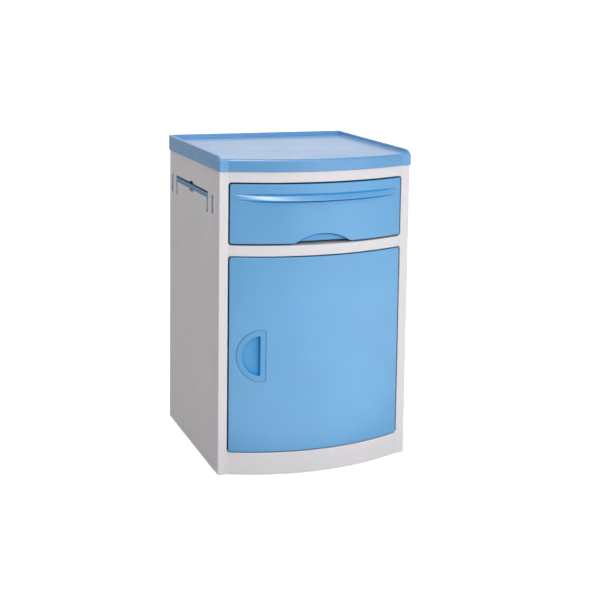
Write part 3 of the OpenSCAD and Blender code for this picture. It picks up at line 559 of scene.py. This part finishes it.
def d_ring(r, cut, corner, arc=40, turn=6, side=14):
    """Circle cut off by a straight side, with rounded corners: (s, z) round the cup's centre."""
    cy = math.sqrt((r - corner) ** 2 - (cut - corner) ** 2)
    a0 = math.atan2(cy, cut - corner)
    pts = []
    for i in range(turn):
        a = a0 * i / turn
        pts.append((cut - corner + corner * math.cos(a), cy + corner * math.sin(a)))
    for i in range(arc + 1):
        a = a0 + (2 * math.pi - 2 * a0) * i / arc
        pts.append((r * math.cos(a), r * math.sin(a)))
    for i in range(1, turn + 1):
        a = -a0 + a0 * i / turn
        pts.append((cut - corner + corner * math.cos(a), -cy + corner * math.sin(a)))
    for i in range(1, side):
        pts.append((cut, -cy + 2 * cy * i / side))
    return pts


def place_cup(ring, d):
    return [Vector((CUP_S + s, CUP_Z + z, d)) for s, z in ring]


def cup_floor(s):
    """Depth of the pocket's floor: shallow at its round side, deep under its straight side."""
    u = max(0.0, min(1.0, (s - CUP_S + MOUTH_R) / (MOUTH_R + MOUTH_CUT + 6 * MM)))
    return (6.0 + 8.6 * u ** 0.8) * MM


def build_cup():
    bm = bmesh.new()
    front, edge, lip = -0.5 * MM, 1.1 * MM, 1.5 * MM    # its face, and the roundings outside and inside
    foot_in, foot_up = 1.2 * MM, 1.1 * MM    # rounding between the pocket's wall and its floor
    tub = d_ring(TUB_R, TUB_CUT, TUB_CORNER)
    rings = [place_cup(tub, TUB_D), place_cup(tub, FLANGE_D),
             place_cup(d_ring(CUP_R, CUP_CUT, CUP_CORNER), FLANGE_D)]
    for i in range(5):
        a = math.radians(90 * i / 4)
        k = edge * (1 - math.cos(a))
        ring = d_ring(CUP_R - k, CUP_CUT - k, CUP_CORNER - k)
        rings.append(place_cup(ring, front + edge * (1 - math.sin(a))))
    for i in range(6):
        a = math.radians(90 * i / 5)
        k = lip * (1 - math.sin(a))
        ring = d_ring(MOUTH_R + k, MOUTH_CUT + k, MOUTH_CORNER + k)
        rings.append(place_cup(ring, front + lip * (1 - math.cos(a))))
    mouth = place_cup(d_ring(MOUTH_R, MOUTH_CUT, MOUTH_CORNER), 0)

    def under(p, amount):
        """Where a point of the mouth moves to: only the straight side steps back, and not at its corners."""
        if p.x - CUP_S < MOUTH_CUT - 1.5 * MM:
            return p.x
        return p.x + amount * ease((38 * MM - abs(p.y - CUP_Z)) / (9 * MM))

    # the pocket's wall, by share of its way down and share of the undercut, and then its rounded foot
    top = 2.4 * MM
    for share, undercut in ((0.0, 0.0), (0.35, 0.25), (0.6, 0.75), (0.8, 1.0)):
        ring = []
        for p in mouth:
            x = under(p, UNDERCUT * undercut)
            ring.append(Vector((x, p.y, top + (cup_floor(x) - foot_in - top) * share)))
        rings.append(ring)
    for i in range(1, 4):
        a = math.radians(30 * i)
        k = foot_in * (1 - math.cos(a))
        ring = []
        for q, p in zip(place_cup(d_ring(MOUTH_R - k, MOUTH_CUT - k, MOUTH_CORNER), 0), mouth):
            x = under(p, UNDERCUT) + (q.x - p.x)
            ring.append(Vector((x, q.y, cup_floor(x) - foot_up * (1 - math.sin(a)))))
        rings.append(ring)
    loft(bm, rings)
    floor_lines = [CUP_S - MOUTH_R + 2 * MM + i * 2.0 * MM for i in range(26)]
    slice_mesh(bm, 0, floor_lines + steps_between(CUP_S - 62 * MM, CUP_S + CUP_CUT, 6 * MM))
    bend(bm)
    piece("door_cup", to_mesh(bm), "door", "blue_front", "door_handle_cup", angle=40, look="blue_cup")


SHELL_CORNER, SHELL_EDGE = 4.5 * MM, 1.3 * MM          # corners and edge rounding of the outer shells
INNER_CORNER, INNER_EDGE, INNER_IN = 4 * MM, 0.8 * MM, 0.2 * MM
INNER_T = FRONT_T - SHELL_T - SKIN_GAP
FIELD_SIDE, FIELD_END, FIELD_MID = 34 * MM, 38 * MM, 12 * MM    # border round the inner moulding's fields
FIELD_D, FIELD_SLOPE = 1.6 * MM, 3 * MM


def build_door():
    half = run(D_HI.x)
    play = 0.4 * MM
    ring = d_ring(CUP_R + play, CUP_CUT + play, CUP_CORNER + play)
    hole = [(CUP_S + s, CUP_Z + z) for s, z in ring]
    outer = rounded_outline(-half, D_LO.z, half, D_HI.z, SHELL_CORNER)
    bm = plate([outer, hole], SHELL_T, SHELL_EDGE)
    slice_mesh(bm, 0, steps_between(-half, half, 6 * MM))
    bend(bm)
    piece("door_front_shell", to_mesh(bm), "door", "blue_front", "door_shell")
    # the inner moulding: a border round two sunk fields
    side = half - INNER_IN
    outline = rounded_outline(-side, D_LO.z + INNER_IN, side, D_HI.z - INNER_IN, INNER_CORNER)
    bm = plate([outline], INNER_T, INNER_EDGE)
    fields = [(D_LO.z + FIELD_END, CUP_Z - FIELD_MID), (CUP_Z + FIELD_MID, D_HI.z - FIELD_END)]
    fs = half - FIELD_SIDE
    cuts = []
    for z0, z1 in fields:
        cuts += [z0, z0 + FIELD_SLOPE, z1 - FIELD_SLOPE, z1]
    slice_mesh(bm, 1, cuts)
    slice_mesh(bm, 0, [-fs, -fs + FIELD_SLOPE, fs - FIELD_SLOPE, fs] + steps_between(-half, half, 6 * MM))

    def sunk(s, z, d):
        for z0, z1 in fields:
            k = min(z - z0, z1 - z, s + fs, fs - s) / FIELD_SLOPE
            if k > 0 and d > INNER_T / 2:
                d -= FIELD_D * min(1.0, k)
        return s, z, d + SHELL_T + SKIN_GAP

    bend(bm, relief=sunk)
    piece("door_inner_moulding", to_mesh(bm), "door", "white_inner", "door_backing")


build_cup()
build_door()

# ---------------------------------------------------------------- drawer front

ARCH_HALF, ARCH_H = 72 * MM, 24 * MM
ARCH_R = (ARCH_HALF ** 2 + ARCH_H ** 2) / (2 * ARCH_H)
ARCH_Z = W_LO.z + ARCH_H - ARCH_R
SCOOP_D, SCOOP_VAULT, SCOOP_T = 12.5 * MM, 10 * MM, 2.4 * MM    # depth, height of its vault, wall
NOTCH = 5.5 * MM                 # how far above the drawer front's bottom the scoop's back ends
RIDGE_Z = W_LO.z + 106 * MM      # lip of the ridge at its ends
CREASE_Z = RIDGE_Z + 11.5 * MM
RIDGE_A, RIDGE_SAG, CREASE_D = 8.5 * MM, 3.5 * MM, 2.4 * MM
LOWER_GAP, UPPER_GAP = 2.0 * MM, 1.2 * MM    # wider gap below and above the drawer front


def arch_points(n, z_min, grow=0.0):
    """n points on the arch from left to right, above z_min. grow moves them outwards."""
    a1 = math.acos((z_min - ARCH_Z) / (ARCH_R + grow))
    return [((ARCH_R + grow) * math.sin(a), ARCH_Z + (ARCH_R + grow) * math.cos(a))
            for a in [-a1 + 2 * a1 * i / (n - 1) for i in range(n)]]


def ridge_relief(half):
    """Bends the drawer front's face into a ridge that fades at both ends, with grooves above and below.

    Returns the relief, and the heights at which the plate has to be sliced for it.
    """
    reach, skin = half - 9 * MM, 3 * MM      # where the ridge has faded out; how deep the relief goes
    low = RIDGE_Z - 1.1 * MM
    # the ridge's profile: a steep lip at the bottom, then a long slope up to the crease
    rows = [(low, 0.0), (RIDGE_Z - 0.6 * MM, 0.95), (RIDGE_Z + 0.2 * MM, 1.0), (RIDGE_Z + 1.6 * MM, 0.93),
            (RIDGE_Z + 3.6 * MM, 0.72), (RIDGE_Z + 6.4 * MM, 0.42), (RIDGE_Z + 9.0 * MM, 0.12),
            (CREASE_Z - 1.3 * MM, 0.0)]

    def height(z):
        for (za, ha), (zb, hb) in zip(rows, rows[1:]):
            if za <= z <= zb:
                return ha + (hb - ha) * (z - za) / (zb - za)
        return 0.0

    def groove(z, fade):
        above = ease((z - CREASE_Z + 4 * MM) / (2.7 * MM)) - ease((z - CREASE_Z - 0.6 * MM) / (0.5 * MM))
        below = ease((z - RIDGE_Z + 5.5 * MM) / (1.5 * MM)) - ease((z - RIDGE_Z + 1.6 * MM) / (0.5 * MM))
        return CREASE_D * (above * min(1.0, 2.5 * fade) + 2.2 * below * fade ** 1.5)

    def sag(z):
        """Share of the sag, which dies away below the lip and up towards the crease."""
        if z < low:
            return ease((z - low + 14 * MM) / (14 * MM))
        return 1 - ease((z - RIDGE_Z - 1.6 * MM) / (CREASE_Z - RIDGE_Z - 3 * MM))

    def relief(s, z, d):
        if d > skin:
            return s, z, d
        fade = max(0.0, 1 - (abs(s) / reach) ** 2)
        out = height(z) * RIDGE_A * fade ** 0.8 - groove(z, fade)
        return s, z - RIDGE_SAG * fade * sag(z), d - out * (1 - d / skin)

    lines = [z for z, _ in rows]
    lines += [RIDGE_Z - k * MM for k in (15, 10, 7, 5.5, 5.1, 4.75, 4.4, 4, 3, 1.6, 1.35)]
    lines += [CREASE_Z + k * MM for k in (-3.4, -2.8, -2.0, -0.4, 0.6, 0.85, 1.1, 2.0)]
    return relief, lines


def finger_scoop():
    """A vaulted recess in the arch, whose back stops short of the drawer front's bottom."""
    bm = bmesh.new()
    z0 = W_LO.z + NOTCH
    rim_d, outside = 1.2 * MM, 1.6 * MM      # depth where the vault starts; how far its outside is set off
    rings = []
    for s, z in arch_points(49, z0, 0.7 * MM):
        u = s / ARCH_HALF
        to = Vector((s, z - ARCH_Z)).normalized()
        deep = SCOOP_D * (0.45 + 0.55 * math.sqrt(max(0.0, 1 - u * u)))

        def at(inset, d):
            return Vector((s - to.x * inset, max(z0, z - to.y * inset), d))

        ring = [at(0, 1.0 * MM)]
        for i in range(1, 10):
            a = math.radians(10 * i)
            ring.append(at(SCOOP_VAULT * (1 - math.cos(a)), rim_d + (deep - rim_d) * math.sin(a)))
        ring += [Vector((s * 0.93, z0, deep)), Vector((s * 0.93, z0, deep + SCOOP_T))]
        ring += [at(-outside, deep + SCOOP_T), at(-outside, 1.4 * MM)]
        rings.append(ring)
    loft(bm, rings)
    bmesh.ops.remove_doubles(bm, verts=bm.verts, dist=1e-5)
    bmesh.ops.recalc_face_normals(bm, faces=bm.faces)
    slice_mesh(bm, 0, steps_between(-ARCH_HALF, ARCH_HALF, 6 * MM))
    bend(bm)
    return bm


def build_drawer_front():
    half = run(W_HI.x)
    base, top = W_LO.z + LOWER_GAP, W_HI.z - UPPER_GAP
    # the outline: a rounded rectangle with the arch let into its bottom side
    steps = 6
    corners = rounded_outline(-half, base, half, top, SHELL_CORNER, steps)
    lower_left = 3 * (steps + 1)
    arch = arch_points(41, base + 0.01 * MM)
    soft = [(arch[0][0] - 3 * MM, base), (arch[0][0] - 1 * MM, base + 0.25 * MM)]
    rest = [(-x, z) for x, z in soft[::-1]] + corners[lower_left:]
    bm = plate([corners[:lower_left] + soft + arch[1:-1] + rest], SHELL_T, SHELL_EDGE)
    relief, lines = ridge_relief(half)
    slice_mesh(bm, 1, lines)
    slice_mesh(bm, 0, steps_between(-half, half, 4.4 * MM))
    bend(bm, relief=relief)
    merge(bm, finger_scoop())
    piece("drawer_front_shell", to_mesh(bm), "drawer", "blue_front", "drawer_front")
    # inner moulding behind the front
    side = half - INNER_IN
    outline = rounded_outline(-side, W_LO.z + NOTCH + 1 * MM, side, top - INNER_IN, INNER_CORNER)
    bm = plate([outline], INNER_T, INNER_EDGE)
    slice_mesh(bm, 0, steps_between(-half, half, 6 * MM))
    bend(bm, relief=lambda s, z, d: (s, z, d + SHELL_T + SKIN_GAP))
    piece("drawer_front_inner", to_mesh(bm), "drawer", "blue_front", "drawer_front_backing")


build_drawer_front()

# ---------------------------------------------------------------- CAD nodes that stay

# Edge rounding in mm. Every node that isn't named here is small hardware or hidden
BEVELS = {"side_panel": 1.0, "back_panel": 0.8, "drawer_tub": 1.2, "cupboard_shelf": 1.0,
          "towel_rail": 1.6, "front_hook": 2.2, "rear_hook": 2.2}
SMALL_BEVEL = 0.4


def dress(node):
    """Gives a node that stays its material, smooth faces and rounded edges."""
    o = nodes[node]
    me = o.data
    me.materials.clear()
    me.materials.append(MATS[SLOT_OF[node]])
    for p in me.polygons:
        p.use_smooth = True
    w = o.modifiers.new("weld", "WELD")
    w.merge_threshold = 2e-5
    d = o.modifiers.new("flat", "DECIMATE")
    d.decimate_type = "DISSOLVE"
    d.angle_limit = math.radians(0.6)
    b = o.modifiers.new("edges", "BEVEL")
    b.width = BEVELS.get(node.removeprefix("left_").removeprefix("right_"), SMALL_BEVEL) * MM
    b.segments = 3
    b.limit_method = "ANGLE"
    b.angle_limit = math.radians(35)
    b.harden_normals = False
    n = o.modifiers.new("normals", "WEIGHTED_NORMAL")
    n.keep_sharp = False


for name in nodes:
    if not nodes[name].hide_render:
        dress(name)

# ---------------------------------------------------------------- stage


def build_stage():
    """A pale floor that sweeps up into a backdrop."""
    bm = bmesh.new()
    far, start, r = 9.0, 3.0, 2.5
    turn = [math.radians(a) for a in range(6, 91, 6)]
    sweep = [(start + r * math.sin(a), r - r * math.cos(a)) for a in turn]
    rows = []
    for y, z in [(-far, 0), (0, 0), (start, 0)] + sweep + [(start + r, far)]:
        rows.append([bm.verts.new((x, y, z)) for x in (-far, far)])
    for a, b in zip(rows, rows[1:]):
        f = bm.faces.new((a[0], a[1], b[1], b[0]))
        f.smooth = True
    me = to_mesh(bm)
    m = new_material("studio_sweep")
    g = Graph(m)
    out = g.node("ShaderNodeOutputMaterial")
    # pale to the camera and, up high or to the right, in reflections. Everywhere else it bounces less light,
    # so that the shaded side of the object stays shaded
    ray = g.node("ShaderNodeLightPath")
    place = g.node("ShaderNodeSeparateXYZ")
    g.link(g.node("ShaderNodeNewGeometry").outputs["Position"], place.inputs[0])
    bright = g.math("MAXIMUM", g.map_range(place.outputs["Z"], 0.1, 1.2, 0.12, 1.0),
                    g.map_range(place.outputs["X"], -0.2, 0.8, 0.12, 1.0))
    mirrored = g.math("MULTIPLY", ray.outputs["Is Glossy Ray"], bright)
    seen = g.math("MAXIMUM", ray.outputs["Is Camera Ray"], mirrored)
    p = g.node("ShaderNodeBsdfPrincipled")
    tone = g.map_range(seen, 0, 1, 0.40, 0.93)
    rgb = g.node("ShaderNodeCombineColor")
    for c in ("Red", "Green", "Blue"):
        g.link(tone, rgb.inputs[c])
    g.link(rgb.outputs[0], p.inputs["Base Color"])
    p.inputs["Roughness"].default_value = 0.9
    p.inputs["Specular IOR Level"].default_value = 0.1
    p.inputs["Emission Color"].default_value = (1, 0.95, 0.985, 1)
    g.link(g.map_range(seen, 0, 1, 0.0, 0.62), p.inputs["Emission Strength"])
    g.link(p.outputs[0], out.inputs["Surface"])
    me.materials.append(m)
    o = bpy.data.objects.new("studio_floor", me)
    bpy.context.scene.collection.objects.link(o)


def area_light(name, place, target, size, power):
    li = bpy.data.lights.new(name, "AREA")
    li.shape = "RECTANGLE"
    li.size, li.size_y = size
    li.energy = power
    o = bpy.data.objects.new(name, li)
    o.location = place
    o.rotation_euler = (Vector(target) - Vector(place)).to_track_quat("-Z", "Y").to_euler()
    bpy.context.scene.collection.objects.link(o)
    return o


def build_lights():
    w = bpy.data.worlds.new("studio")
    bpy.context.scene.world = w
    w.use_nodes = True
    bg = w.node_tree.nodes["Background"]
    bg.inputs["Color"].default_value = (1.0, 0.985, 0.99, 1)
    g = Graph(w)
    ray = g.node("ShaderNodeLightPath")
    g.link(g.map_range(ray.outputs["Is Camera Ray"], 0, 1, 0.71, 1.0), bg.inputs["Strength"])
    area_light("key", (0.5, -4.2, 2.3), (0, 0, 0.40), (2.2, 1.5), 62)
    area_light("fill", (1.9, -3.4, 0.6), (0, 0, 0.35), (2.6, 1.1), 13)
    # two that show in reflections only: a gleam along the ridge and a haze over the door
    gleam = area_light("gleam", (-0.8, -1.8, 2.45), (-0.12, -0.24, 0.66), (1.2, 0.45), 74)
    haze = area_light("haze", (0.6, -1.25, 0.02), (0.6, -1.25, 1.0), (3.4, 1.8), 31)
    for light in (gleam, haze):
        light.visible_diffuse = False
        light.visible_camera = False
    # one that lifts the back of the cabinet and shows in no reflection
    back = area_light("back", (0.0, 2.4, 1.8), (0, 0.25, 0.4), (2.0, 1.2), 10)
    back.visible_glossy = False


CAMERA_AT = Vector((-1.0383, -2.8309, 1.0951))
CAMERA_TURN = (-20.425, 6.392, 0.741)        # azimuth, elevation and roll in degrees
CAMERA_LENS, SENSOR = 72.79, 36.0
LENS_SHIFT = {"shift_x": 0.0094, "shift_y": -0.2605}
SHIFT_REACH = 0.05               # change in the sum of the camera's coordinates at which the shift is gone


def build_camera():
    az, el, roll = (math.radians(a) for a in CAMERA_TURN)
    back = Vector((math.sin(az) * math.cos(el), -math.cos(az) * math.cos(el), math.sin(el)))
    right = (-back).cross(Vector((0, 0, 1))).normalized()
    up = right.cross(-back)
    r2 = right * math.cos(roll) + up * math.sin(roll)
    u2 = up * math.cos(roll) - right * math.sin(roll)
    cam = bpy.data.cameras.new("camera")
    cam.sensor_width = SENSOR
    cam.lens = CAMERA_LENS
    o = bpy.data.objects.new("camera", cam)
    o.matrix_world = Matrix.Translation(CAMERA_AT) @ Matrix((r2, u2, back)).transposed().to_4x4()
    bpy.context.scene.collection.objects.link(o)
    bpy.context.scene.camera = o
    # The lens is shifted, as a view camera's is, to keep uprights parallel. The shift belongs to this place
    # only: its drivers add up the camera's coordinates, and it returns to none as their sum changes.
    here = sum(CAMERA_AT)
    for path, value in LENS_SHIFT.items():
        curve = cam.driver_add(path)
        drv = curve.driver
        drv.type = "SUM"
        for axis in "XYZ":
            var = drv.variables.new()
            var.name = "at_" + axis.lower()
            var.type = "TRANSFORMS"
            var.targets[0].id = o
            var.targets[0].transform_type = "LOC_" + axis
            var.targets[0].transform_space = "WORLD_SPACE"
        for m in list(curve.modifiers):
            curve.modifiers.remove(m)
        for x, v in ((here - SHIFT_REACH, 0.0), (here, value), (here + SHIFT_REACH, 0.0)):
            k = curve.keyframe_points.insert(x, v)
            k.interpolation = "LINEAR"


build_stage()
build_lights()
build_camera()
bpy.context.scene.view_settings.view_transform = "Standard"
